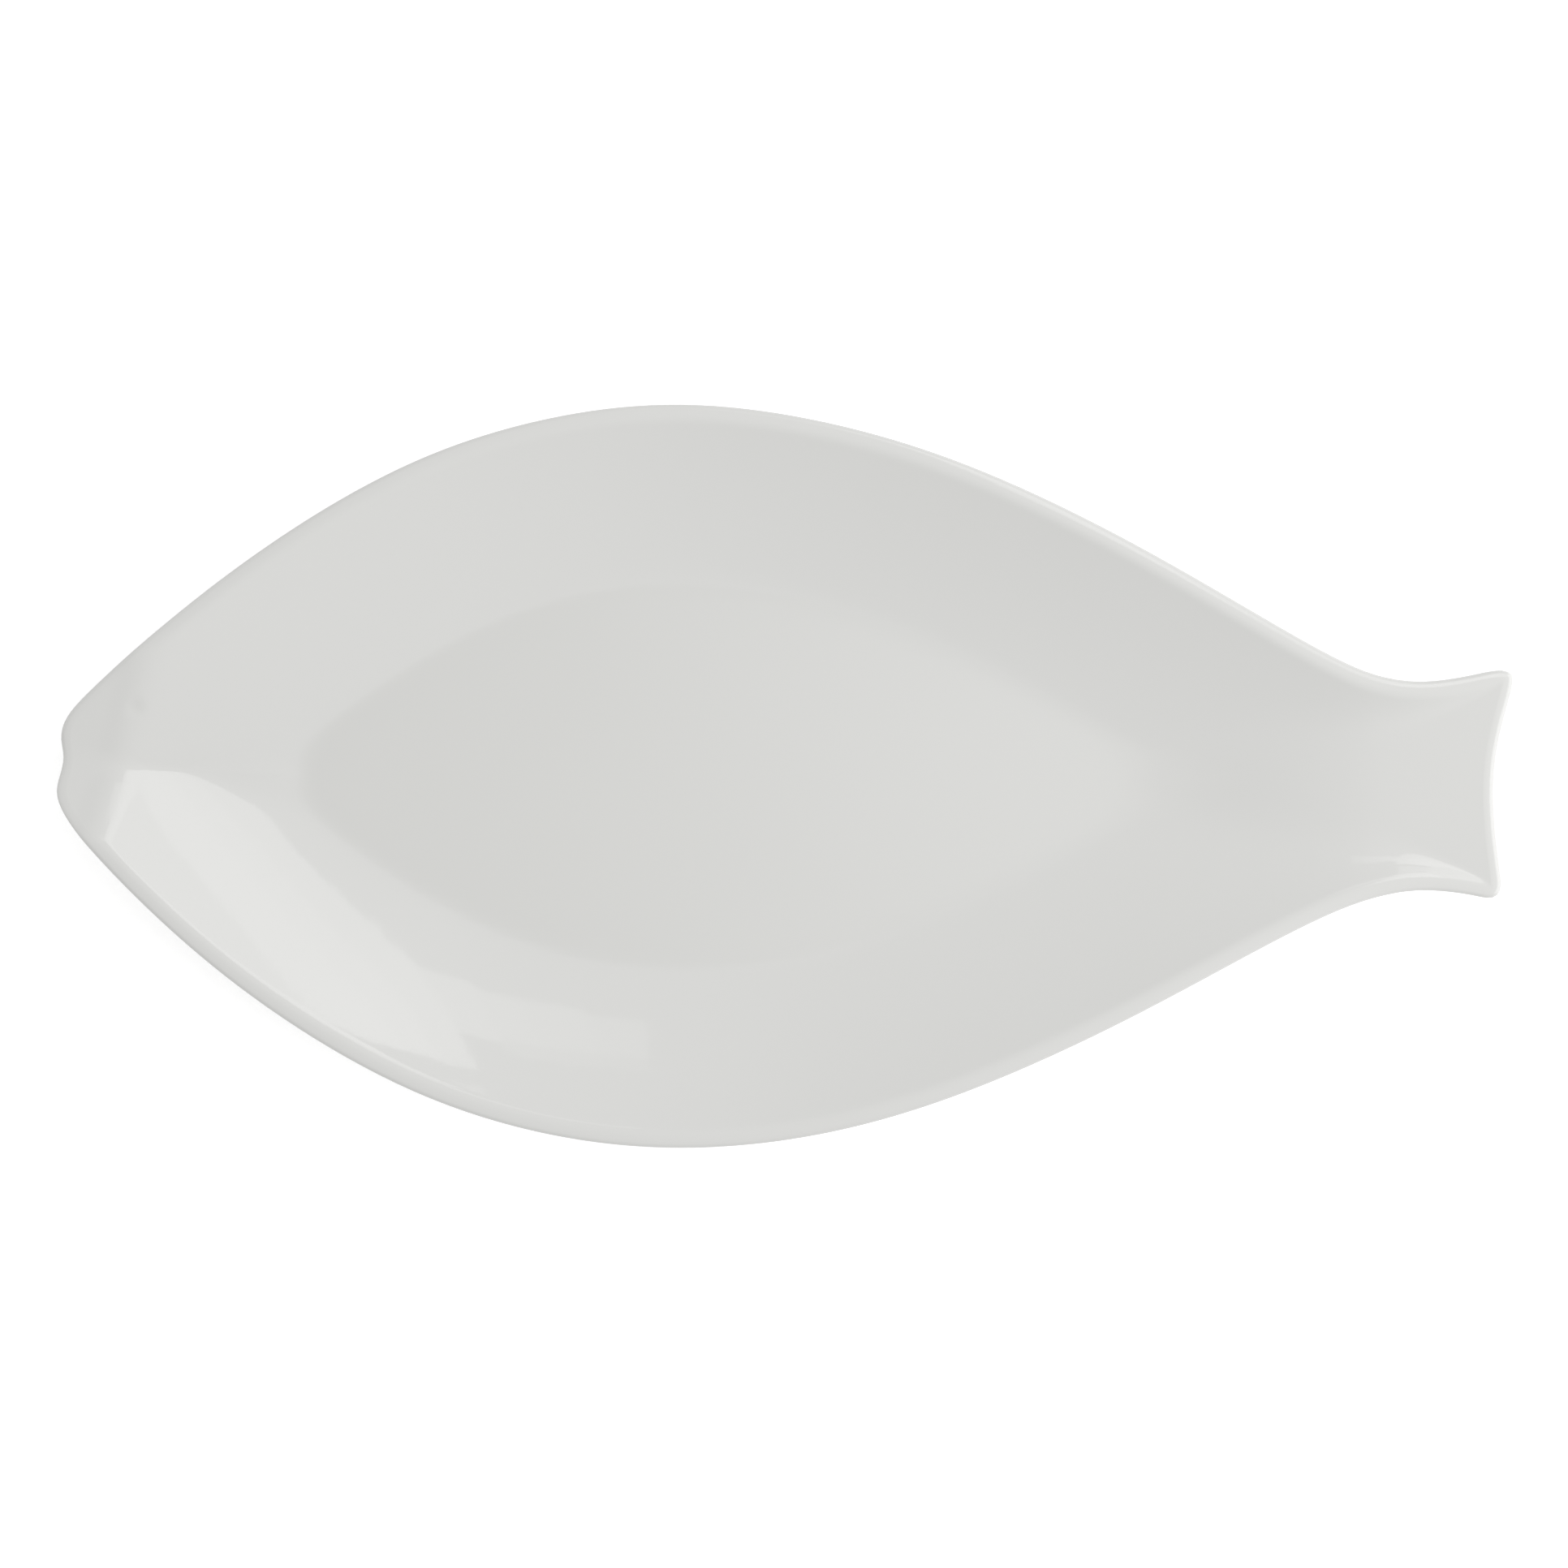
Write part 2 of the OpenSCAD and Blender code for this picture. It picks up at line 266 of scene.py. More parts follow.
def colour(name, default, description):
    return FloatVectorProperty(name=name, description=description, default=default, subtype="COLOR", size=3)


class PlatterFinish(bpy.types.PropertyGroup):
    """Colours of the glaze and of the bare clay"""
    glaze_colour: colour("Glaze", (0.66, 0.66, 0.645), "White of the glazed porcelain")
    # Painted shade: this colour darkens the floor of the well and the eye's dimple, and the thicker places of
    # the coat's random clouds.
    glaze_shade_and_clouds: colour("Glaze Shade", (0.634, 0.634, 0.617), "Where the coat pools a little deeper")
    speck_colour: colour("Specks", (0.33, 0.31, 0.28), "Pinpoint specks under the glaze")
    clay_colour: colour("Clay", (0.66, 0.63, 0.56), "Bare fired clay of the foot")
    clay_shade: colour("Clay Shade", (0.58, 0.54, 0.46), "Grain of the bare clay")


class StudioSettings(bpy.types.PropertyGroup):
    """Light and camera"""
    camera_height: length("Camera Height", 1.6, "Distance of the camera above the rim")
    daylight: share("Daylight", 0.635, "Even light from all round")
    softbox: share("Softbox", 1.9, "Brightness of the softbox at the upper right")
    side_light: share("Side Light", 2.15, "Brightness of the light at the tail's side")
    fill_light: share("Fill Light", 0.65, "Brightness of the light at the head's side")


class Socket:
    """An output of a node. A sum, product or quotient of sockets adds the node that works it out."""

    def __init__(self, graph, output):
        self.graph = graph
        self.output = output

    def __add__(self, other):
        return self.graph.operate("ADD", self, other)

    def __radd__(self, other):
        return self.graph.operate("ADD", other, self)

    def __sub__(self, other):
        return self.graph.operate("SUBTRACT", self, other)

    def __rsub__(self, other):
        return self.graph.operate("SUBTRACT", other, self)

    def __mul__(self, other):
        return self.graph.operate("MULTIPLY", self, other)

    def __rmul__(self, other):
        return self.graph.operate("MULTIPLY", other, self)

    def __truediv__(self, other):
        return self.graph.operate("DIVIDE", self, other)

    def __pow__(self, other):
        return self.graph.operate("POWER", self, other)

    def __mod__(self, other):
        return self.graph.operate("FLOORED_MODULO", self, other)

    def __lt__(self, other):
        return self.graph.operate("LESS_THAN", self, other)

    def __gt__(self, other):
        return self.graph.operate("GREATER_THAN", self, other)


class Graph:
    """A node tree that is written as expressions."""

    def __init__(self, tree):
        self.tree = tree

    def node(self, kind, settings=None, inputs=None, output=0):
        made = self.tree.nodes.new(kind)
        for name, value in (settings or {}).items():
            setattr(made, name, value)
        for key, value in (inputs or {}).items():
            for one in value if isinstance(value, list) else [value]:
                self.feed(made.inputs[key], one)
        return Socket(self, made.outputs[output])

    def feed(self, target, value):
        if isinstance(value, Socket):
            self.tree.links.new(value.output, target)
        elif target.type == "VECTOR" and isinstance(value, (int, float)):
            target.default_value = (value, value, value)
        else:
            target.default_value = value

    def operate(self, operation, *values):
        def is_vector(value):
            return value.output.type == "VECTOR" if isinstance(value, Socket) else isinstance(value, tuple)
        kind = "ShaderNodeVectorMath" if any(is_vector(value) for value in values) else "ShaderNodeMath"
        return self.node(kind, {"operation": operation}, dict(enumerate(values)))

    def reach(self, vector):
        """Length of a vector."""
        return self.node("ShaderNodeVectorMath", {"operation": "LENGTH"}, {0: vector}, "Value")

    def across(self, vector, axis):
        """One part of a vector."""
        return self.node("ShaderNodeSeparateXYZ", None, {0: vector}, axis)

    def place(self, x, y, z):
        return self.node("ShaderNodeCombineXYZ", None, {0: x, 1: y, 2: z})

    def clamp(self, value, low, high):
        return self.node("ShaderNodeClamp", None, {"Value": value, "Min": low, "Max": high})

    def least(self, a, b, rounding=0.0):
        """The smaller of two values, with the corner between them rounded over a width."""
        return self.node("ShaderNodeMath", {"operation": "SMOOTH_MIN"}, {0: a, 1: b, 2: rounding})

    def most(self, a, b, rounding=0.0):
        return self.node("ShaderNodeMath", {"operation": "SMOOTH_MAX"}, {0: a, 1: b, 2: rounding})

    def ease(self, value, low, high):
        """How far a value has come from low to high, from 0 to 1, with soft ends."""
        return self.node("ShaderNodeMapRange", {"interpolation_type": "SMOOTHSTEP"},
                         {"Value": value, "From Min": low, "From Max": high})

    def blend(self, a, b, factor):
        return a + (b - a) * factor


def closed_curve(points, steps):
    """Smooth closed curve through points, with even bends, as steps places for each point."""
    after = np.roll(points, -1, axis=0)
    gaps = np.sqrt(np.linalg.norm(after - points, axis=1))
    before = np.roll(gaps, 1)
    count = len(points)
    chords = (after - points) / gaps[:, None] ** 2
    system = np.zeros((count, count))
    for i in range(count):
        system[i, i - 1] = 1 / before[i]
        system[i, i] = 2 / before[i] + 2 / gaps[i]
        system[i, (i + 1) % count] = 1 / gaps[i]
    slopes = np.linalg.solve(system, 3 * (chords + np.roll(chords, 1, axis=0)))
    curve = []
    for i in range(count):
        leave = slopes[i] * gaps[i]
        arrive = slopes[(i + 1) % count] * gaps[i]
        for t in np.arange(steps) / steps:
            curve.append(
                points[i] * (2 * t ** 3 - 3 * t ** 2 + 1) + leave * (t ** 3 - 2 * t ** 2 + t)
                + after[i] * (3 * t ** 2 - 2 * t ** 3) + arrive * (t ** 3 - t ** 2))
    return np.array(curve)


def fish_outline(rails):
    """Points round the outline from the mouth, half of them on each side, and the stretch of each edge."""
    steps = 60
    tables = (
        [(x, upper) for x, upper, _ in SIDE_SHARES],
        TAIL_SHARES,
        [(x, lower) for x, _, lower in reversed(SIDE_SHARES)],
        MOUTH_SHARES,
    )
    shares = np.array([point for table in tables for point in table])
    curve = closed_curve(shares * (LENGTH, WIDTH), steps)
    stretches = []
    for stretch, table in zip((UPPER, TAIL, LOWER, MOUTH), tables):
        stretches += [stretch] * len(table)
    # From the last point of a tail or mouth table the curve runs on into the side, which owns that edge.
    for stretch, owner in ((TAIL, LOWER), (MOUTH, UPPER)):
        last = max(i for i, s in enumerate(stretches) if s == stretch)
        stretches[last] = owner
    nose = (len(shares) - len(MOUTH_SHARES) + NOSE_POINT) * steps
    tail_end = (len(SIDE_SHARES) + TAIL_POINT) * steps - nose + len(curve)
    curve = np.roll(curve, -nose, axis=0)
    stretches = np.roll(np.repeat(stretches, steps), -nose)
    closed = np.vstack([curve, curve[:1]])
    travelled = np.concatenate([[0], np.cumsum(np.linalg.norm(np.diff(closed, axis=0), axis=1))])
    half = rails // 2
    even = np.concatenate([
        np.linspace(0, travelled[tail_end], half, endpoint=False),
        np.linspace(travelled[tail_end], travelled[-1], rails - half, endpoint=False)])
    points = np.column_stack([np.interp(even, travelled, closed[:, axis]) for axis in range(2)])
    return points, stretches[np.searchsorted(travelled, even, side="right") - 1]


def inward_ways(points):
    """The way in from each point of the outline, turned evenly through the corners of tail and mouth."""
    ahead = np.roll(points, -1, axis=0) - np.roll(points, 1, axis=0)
    inward = np.column_stack([ahead[:, 1], -ahead[:, 0]])
    spread = max(1, round(CORNER_SPREAD / np.linalg.norm(points[1] - points[0])))
    evened = sum(np.roll(inward, step, axis=0) * (spread - abs(step)) for step in range(1 - spread, spread))
    return evened / np.linalg.norm(evened, axis=1)[:, None]


def backbone(points):
    """The place on the backbone that each rail of the top ends on. The two sides share their places."""
    across = (points[:, 0] + np.roll(points[::-1, 0], 1)) / (2 * LENGTH)
    along = np.interp(across, BACKBONE_ROWS, BACKBONE_ENDS) * LENGTH
    bend = np.interp(along, np.array(BEND_ENDS) * LENGTH, np.array(BEND_SHARES) * WIDTH)
    return np.column_stack([along, bend])


def foot_rails(edge):
    """For each rail of the underside, the point of the spine that it ends over, the way back and its span."""
    # Counted from the middle of the upper side, so that neither fan of rails is split.
    turn = len(edge) // 4
    points = np.roll(edge, -turn, axis=0)
    head, tail = HEAD_ROW_SHARE * LENGTH, TAIL_ROW_SHARE * LENGTH
    spine = np.zeros_like(points)
    spine_ends = (SPINE_HEAD_SHARE * LENGTH, SPINE_TAIL_SHARE * LENGTH)
    spine[:, 0] = np.interp(points[:, 0], (head, tail), spine_ends)
    back = points - spine
    span = np.linalg.norm(back, axis=1)
    angle = np.unwrap(np.arctan2(back[:, 1], back[:, 0]))
    # Rails of the head and of the tail fan out from one end of the spine, a little evened.
    for fan in (points[:, 0] < head, points[:, 0] > tail):
        chosen = np.flatnonzero(fan)
        first, last = chosen[0], chosen[-1]
        even = np.linspace(angle[first], angle[last], len(chosen))
        angle[chosen] += (even - angle[chosen]) * FAN_EVENING_SHARE
        span[chosen] = np.linspace(span[first], span[last], len(chosen))
    back = np.column_stack([np.cos(angle), np.sin(angle)])
    return [np.roll(part, turn, axis=0) for part in (spine, back, span)]


def outline_mesh(name, sizes):
    """The outline as a loop of edges that carry their stretch. Its points carry their rails."""
    rails = sizes.rails
    points, owners = fish_outline(rails)
    mesh = bpy.data.meshes.new(name)
    mesh.from_pydata([(x, y, 0) for x, y in points], [(i, (i + 1) % rails) for i in range(rails)], [])
    mesh.attributes.new("stretch", "INT", "EDGE").data.foreach_set("value", owners)

    def keep(key, places):
        flat = np.column_stack([places, np.zeros(rails)])
        mesh.attributes.new(key, "FLOAT_VECTOR", "POINT").data.foreach_set("vector", flat.ravel())

    inward = inward_ways(points)
    spine, back, span = foot_rails(points + inward * sizes.under_roll)
    keep("inward", inward)
    keep("backbone", backbone(points))
    keep("spine", spine)
    keep("back", back)
    mesh.attributes.new("span", "FLOAT", "POINT").data.foreach_set("value", span + sizes.under_roll)
    return mesh


class Rail:
    """One section of the platter: its start on the edge, its way in and what it ends over."""

    def __init__(self, graph, outline, number):
        def sample(kind, value):
            return graph.node("GeometryNodeSampleIndex", {"data_type": kind, "domain": "POINT"},
                              {"Geometry": outline, "Value": value, "Index": number})

        def kept(kind, key):
            named = graph.node("GeometryNodeInputNamedAttribute", {"data_type": kind}, {"Name": key})
            return sample(kind, named)

        self.graph = graph
        self.start = sample("FLOAT_VECTOR", graph.node("GeometryNodeInputPosition"))
        self.inward, self.backbone, self.spine, self.back = (
            kept("FLOAT_VECTOR", key) for key in ("inward", "backbone", "spine", "back"))
        self.span = kept("FLOAT", "span")

    def loop(self, inside):
        """Place on the loop round the spine that lies so far inside the edge along the sides."""
        return self.spine + self.back * (self.span - inside)

    def inside(self, place):
        return self.span - self.graph.reach(place - self.spine)


class Dish:
    """Heights of the platter's faces over a place, by the rule that its wall follows."""

    def __init__(self, graph, size, outline):
        self.graph = graph
        self.size = size
        stretch = graph.node("GeometryNodeInputNamedAttribute", {"data_type": "INT"}, {"Name": "stretch"})
        self.lines = [
            graph.node(
                "GeometryNodeSeparateGeometry", {"domain": "EDGE"},
                {"Geometry": outline,
                 "Selection": graph.node("FunctionNodeCompare", {"data_type": "INT", "operation": "EQUAL"},
                                         {2: stretch, 3: number})})
            for number in (UPPER, TAIL, LOWER)]

    def distance(self, stretch, place):
        return self.graph.node("GeometryNodeProximity", {"target_element": "EDGES"},
                               {"Geometry": self.lines[stretch], "Sample Position": place}, "Distance")

    def inside_crest(self, place):
        """How far a place lies inside the crest of the rim. Over the lip the dish runs out flat."""
        graph, size = self.graph, self.size
        lip = (size["snout_lip"] - LENGTH / 2) + graph.across(place, "Y") * LIP_LEAN_SHARE
        over_lip = graph.most(lip - graph.across(place, "X"), 0, size["lip_round"])
        place = place + graph.place(over_lip, 0, 0)
        upper, lower = self.distance(UPPER, place), self.distance(LOWER, place)
        deep = graph.ease(graph.least(upper, lower) / size["wall_width"], WELL_START_SHARE, WELL_END_SHARE)
        flat = graph.ease(over_lip / size["snout_lip"], 0, LIP_RAMP_SHARE)
        in_well = (size["well_round"] - size["valley_round"]) * deep
        in_mouth = (size["mouth_round"] - size["valley_round"]) * flat
        sides = graph.least(upper, lower, size["valley_round"] + graph.most(in_well, in_mouth))
        return sides + in_mouth * CREASE_SHARE - size["rim_roll"]

    def tail_limit(self, place):
        """Depth that the dish keeps to on its way up the neck and out to the end of the tail."""
        graph, size = self.graph, self.size
        inside = graph.most(self.distance(TAIL, place) - size["rim_roll"], 0)
        near, far = NECK_NEAR_SHARE * LENGTH, NECK_FAR_SHARE * LENGTH
        rise = size["dish_depth"] + size["neck_round"] - size["tail_slope"] * far
        return inside * size["tail_slope"] + graph.ease(inside, near, far) * rise

    def fall(self, inside):
        """Fall of the wall: its slope grows at the crest, eases down the wall and runs out in the bend."""
        graph, size = self.graph, self.size
        blend, bend = size["crest_blend"], size["bend_width"]
        run = size["wall_width"] - size["rim_roll"] - blend - bend
        ease = size["inner_slope"]
        slope = size["dish_depth"] / (blend / 2 + (1 + ease) * run / 2 + ease * bend / 2)
        crest = graph.clamp(inside, 0, blend)
        wall = graph.clamp(inside - blend, 0, run)
        turn = graph.clamp(inside - blend - run, 0, bend)
        return slope * (crest * crest / (2 * blend) + wall - (1 - ease) * wall * wall / (2 * run)
                        + ease * (turn - turn * turn / (2 * bend)))

    def top(self, place):
        """Height of the glazed top, with the dimple of the eye."""
        graph, size = self.graph, self.size
        from_eye = graph.reach(place - EYE_PLACE) / (size["eye_width"] / 2)
        dimple = graph.clamp(1 - from_eye * from_eye, 0, 1) ** EYE_POWER
        limit = self.tail_limit(place)
        fall = graph.least(self.fall(self.inside_crest(place)), limit, graph.least(limit, size["neck_round"]))
        return size["rim_height"] - fall - dimple * size["eye_depth"]

    def flanks(self, inside):
        """Heights of the foot's outer and inner flank, so far inside the edge."""
        size = self.size
        steepness = size["foot_height"] / size["foot_draft"]
        foot_edge = size["wall_width"] + size["foot_inset"]
        return (foot_edge - inside) * steepness, (inside - foot_edge - size["foot_width"]) * steepness


class Surface:
    """The platter's surface as sheets of rails, in one tree."""

    def __init__(self, name):
        tree = bpy.data.node_groups.new(name, "GeometryNodeTree")
        tree.interface.new_socket("Outline", in_out="INPUT", socket_type="NodeSocketGeometry")
        self.identifiers = {}
        for key, kept in PlatterSizes.bl_rna.properties.items():
            if key not in PlatterSizes.__annotations__:
                continue
            kind = "NodeSocketInt" if kept.type == "INT" else "NodeSocketFloat"
            socket = tree.interface.new_socket(kept.name, in_out="INPUT", socket_type=kind)
            self.identifiers[key] = socket.identifier
        socket = tree.interface.new_socket("Material", in_out="INPUT", socket_type="NodeSocketMaterial")
        self.material = socket.identifier
        tree.interface.new_socket("Platter", in_out="OUTPUT", socket_type="NodeSocketGeometry")
        self.graph = Graph(tree)
        given = tree.nodes.new("NodeGroupInput").outputs
        self.outline = Socket(self.graph, given["Outline"])
        self.finish = Socket(self.graph, given["Material"])
        names = {key: PlatterSizes.bl_rna.properties[key].name for key in self.identifiers}
        self.size = {key: Socket(self.graph, given[name]) for key, name in names.items()}
        self.dish = Dish(self.graph, self.size, self.outline)
        self.sheets = []

    def rail(self, number):
        return Rail(self.graph, self.outline, number)

    def sheet(self, rings, shape):
        """Sheet of rails with so many rings. shape gives place and glazed share on a rail's run."""
        graph = self.graph
        mesh = graph.node("GeometryNodeMeshGrid", None, {
            "Size X": 1, "Size Y": 1, "Vertices X": self.size["rails"] + 1, "Vertices Y": rings})
        index = graph.node("GeometryNodeInputIndex")
        number = graph.node("ShaderNodeMath", {"operation": "FLOOR"}, {0: (index + 0.5) / rings})
        travel = (index - number * rings) / (rings - 1)
        self.keep(mesh, *shape(self.rail(number % self.size["rails"]), travel))

    def disc(self, shape):
        """Flat floor, facing down, that closes the loop at the end of a sheet."""
        graph = self.graph
        mesh = graph.node("GeometryNodeMeshCircle", {"fill_type": "NGON"},
                          {"Vertices": self.size["rails"], "Radius": 1})
        self.keep(mesh, *shape(self.rail(graph.node("GeometryNodeInputIndex")), None))

    def keep(self, mesh, place, glazed):
        graph = self.graph
        mesh = graph.node("GeometryNodeStoreNamedAttribute", {"data_type": "FLOAT", "domain": "POINT"},
                          {"Geometry": mesh, "Name": "glazed", "Value": glazed})
        self.sheets.append(graph.node("GeometryNodeSetPosition", None, {"Geometry": mesh, "Position": place}))

    def crowded(self, travel, ends):
        """Share of a run with its rings crowded to both ends."""
        turn = 2 * math.pi
        wave = self.graph.node("ShaderNodeMath", {"operation": "SINE"}, {0: travel * turn})
        return travel - wave * (ends / turn)

    def raised(self, place, height):
        return place + self.graph.place(0, 0, height)

    # Stretches of the section, from the well over the rim to the middle of the base
    def crest(self, rail):
        return rail.start + rail.inward * self.size["rim_roll"]

    def under_edge(self, rail):
        return rail.start + rail.inward * self.size["under_roll"]

    def dish_top(self, rail, travel):
        place = self.graph.blend(rail.backbone, self.crest(rail), self.crowded(travel, TOP_CROWDING))
        return self.raised(place, self.dish.top(place)), 1

    def rim(self, rail, travel):
        graph, size = self.graph, self.size
        turn = (0.5 - travel) * math.pi
        sine = graph.node("ShaderNodeMath", {"operation": "SINE"}, {0: turn})
        cosine = graph.node("ShaderNodeMath", {"operation": "COSINE"}, {0: turn})
        square = graph.most(cosine, 0) ** size["roll_power"]
        width = graph.blend(size["rim_roll"] * (1 - square), size["under_roll"] * (1 - cosine), travel > 0.5)
        place = rail.start + rail.inward * width
        half = size["rim_thickness"] / 2
        rise = graph.clamp(sine, 0, 1) ** size["roll_power"] + graph.clamp(sine, -1, 0)
        return self.raised(place, self.dish.top(place) - half + half * rise), 1

    def glaze_line(self):
        """Where the glaze stops on the flanks of the foot, as distances inside the edge."""
        size = self.size
        lean = size["foot_draft"] * size["bare_height"] / size["foot_height"]
        outer = size["wall_width"] + size["foot_inset"]
        return outer - lean, outer + size["foot_width"] + lean

    def underside(self, rail, travel):
        graph, size = self.graph, self.size
        outer, _ = self.glaze_line()
        share_in = self.crowded(travel, UNDER_CROWDING)
        place = graph.blend(self.under_edge(rail), rail.loop(outer), share_in)
        shell = self.dish.top(place) - graph.blend(size["rim_thickness"], size["floor_thickness"], share_in)
        flank, _ = self.dish.flanks(rail.inside(place))
        return self.raised(place, graph.least(shell, flank, size["foot_round"])), 1

    def foot(self, rail, travel):
        graph = self.graph
        outer, inner = self.glaze_line()
        inside = graph.blend(outer, inner, self.crowded(travel, FOOT_CROWDING))
        height = graph.most(graph.most(*self.dish.flanks(inside)), 0, FOOT_EDGE_ROUND)
        return self.raised(rail.loop(inside), height), graph.clamp(height / self.size["bare_height"], 0, 1)

    def base(self, rail, travel):
        graph, size = self.graph, self.size
        _, inner = self.glaze_line()
        inside = inner + travel ** BASE_POWER * BASE_MARGIN
        height = graph.least(self.dish.flanks(inside)[1], size["foot_height"], size["foot_round"])
        return self.raised(rail.loop(inside), height), 1

    def base_floor(self, rail, _):
        _, inner = self.glaze_line()
        return self.raised(rail.loop(inner + BASE_MARGIN), self.size["foot_height"]), 1

    def close(self, sink=0.0):
        """Joins the sheets and sinks what is glazed by a thickness."""
        graph = self.graph
        joined = graph.node("GeometryNodeJoinGeometry", None, {"Geometry": self.sheets})
        shell = graph.node("GeometryNodeMergeByDistance", None,
                           {"Geometry": joined, "Distance": JOIN_DISTANCE})
        if sink:
            glazed = graph.node("GeometryNodeInputNamedAttribute", {"data_type": "FLOAT"}, {"Name": "glazed"})
            offset = graph.node("GeometryNodeInputNormal") * (glazed * (-1 * sink))
            shell = graph.node("GeometryNodeSetPosition", None, {"Geometry": shell, "Offset": offset})
        smooth = graph.node("GeometryNodeSetShadeSmooth", None, {"Geometry": shell})
        real = graph.node("GeometryNodeRealizeInstances", None, {"Geometry": smooth})
        done = graph.node("GeometryNodeSetMaterial", None, {"Geometry": real, "Material": self.finish})
        ending = graph.tree.nodes.new("NodeGroupOutput")
        graph.feed(ending.inputs["Platter"], done)

    def make(self, name, settings, material, coat=0.0):
        """Runs the tree on the outline and keeps the result as a plain mesh, with the thickness of a coat."""
        piece = bpy.data.objects.new(name, outline_mesh(name, settings))
        bpy.context.scene.collection.objects.link(piece)
        modifier = piece.modifiers.new("Surface", "NODES")
        modifier.node_group = self.graph.tree
        for key, identifier in self.identifiers.items():
            modifier[identifier] = getattr(settings, key)
        modifier[self.material] = material
        if coat:
            skin = piece.modifiers.new("Coat", "SOLIDIFY")
            skin.thickness = coat
            skin.offset = -1
        made = piece.evaluated_get(bpy.context.evaluated_depsgraph_get())
        mesh = bpy.data.meshes.new_from_object(made)
        mesh.name = name
        piece.modifiers.clear()
        piece.data = mesh
        return piece


def finish_piece(piece, node):
    """Checks that a piece is closed and faces outwards, and ties it to the frame."""
    shape = bmesh.new()
    shape.from_mesh(piece.data)
    open_edges = sum(not edge.is_manifold for edge in shape.edges)
    volume = shape.calc_volume(signed=True)
    shape.free()
    if open_edges or volume <= 0:
        raise RuntimeError(f"{piece.name}: {open_edges} open edges, volume {volume:.3e}")
    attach(piece, BODY)
    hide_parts(node)


def new_material(name):
    material = bpy.data.materials.new(name)
    material.use_nodes = True
    graph = Graph(material.node_tree)
    shader = material.node_tree.nodes["Principled BSDF"]
    place = graph.node("ShaderNodeTexCoord", output="Object")
    return material, graph, shader.inputs, place


def mixed(graph, a, b, factor):
    """Colour between a and b."""
    a, b = ((*given, 1) if isinstance(given, tuple) else given for given in (a, b))
    settings = {"data_type": "RGBA", "clamp_factor": True}
    return graph.node("ShaderNodeMix", settings, {0: factor, 6: a, 7: b}, 2)


def noise(graph, place, size, detail=2.0, roughness=0.5):
    """Cloudy noise whose lumps are about so large."""
    return graph.node("ShaderNodeTexNoise", None, {
        "Vector": place, "Scale": 1 / size, "Detail": detail, "Roughness": roughness}, "Fac")


def glaze_material(finish, sizes):
    """Clear gloss glaze over white porcelain, with painted shade in the well and the eye's dimple, random
    clouds, faint waves and specks.
    """
    material, graph, sockets, place = new_material("glaze")
    floor = sizes.rim_height - sizes.dish_depth
    # Painted shade: the floor of the well is darkened, more towards the head's end.
    in_well = 1 - graph.ease(graph.across(place, "Z"), floor, floor + WELL_SHADE_HEIGHT)
    # Painted shade in the dimple of the eye.
    from_eye = graph.reach((place - EYE_PLACE) * (1, 1, 0))
    eye_shade_mask = 1 - graph.ease(from_eye, 0, sizes.eye_width / 2)
    well_shade = graph.blend(*WELL_SHADE_STRENGTHS, graph.ease(graph.across(place, "X"), *WELL_SHADE_ENDS))
    cloud = CLOUD_DEPTH * (noise(graph, place, CLOUD_SIZE, 1.0) - CLOUD_START)
    # Painted shade of the well and the eye, plus the coat's random clouds.
    shade_and_clouds = in_well * well_shade + eye_shade_mask * EYE_SHADE_STRENGTH + cloud
    white = mixed(graph, tuple(finish.glaze_colour), tuple(finish.glaze_shade_and_clouds), shade_and_clouds)
    cells = {"Vector": place, "Scale": 1 / SPECK_CELL}
    near = graph.node("ShaderNodeTexVoronoi", None, cells, "Distance")
    chance = graph.node("ShaderNodeSeparateColor", None,
                        {0: graph.node("ShaderNodeTexVoronoi", None, cells, "Color")}, 0)
    speck = (near < SPECK_RADIUS_SHARE) * (chance > SPECK_FREE_SHARE)
    graph.feed(sockets["Base Color"], mixed(graph, white, tuple(finish.speck_colour), speck * SPECK_STRENGTH))
    patches = noise(graph, place, GLAZE_PATCH_SIZE, 3.0)
    graph.feed(sockets["Roughness"], GLAZE_ROUGHNESS + GLAZE_ROUGHNESS_RANGE * patches)
    waves = noise(graph, place, WAVE_SIZE, 1.0) + RIPPLE_SHARE * noise(graph, place, RIPPLE_SIZE, 1.0)
    graph.feed(sockets["Normal"], graph.node("ShaderNodeBump", None, {
        "Strength": 1.0, "Distance": WAVE_HEIGHT, "Height": waves}))
    sockets["IOR"].default_value = GLASS_IOR
    return material


def clay_material(finish):
    """Bare fired clay: matte, warm white, with a fine grain and soft clouds."""
    material, graph, sockets, place = new_material("porcelain")
    grain = noise(graph, place, GRAIN_SIZE, 4.0, 0.7)
    cloud = noise(graph, place, CLAY_CLOUD_SIZE)
    shade = grain * GRAIN_SHARE + cloud * (1 - GRAIN_SHARE)
    white = mixed(graph, tuple(finish.clay_colour), tuple(finish.clay_shade), shade)
    graph.feed(sockets["Base Color"], white)
    graph.feed(sockets["Roughness"], CLAY_ROUGHNESS + CLAY_ROUGHNESS_RANGE * grain)
    graph.feed(sockets["Normal"], graph.node("ShaderNodeBump", None, {
        "Strength": GRAIN_STRENGTH, "Distance": GRAIN_HEIGHT, "Height": grain}))
    return material


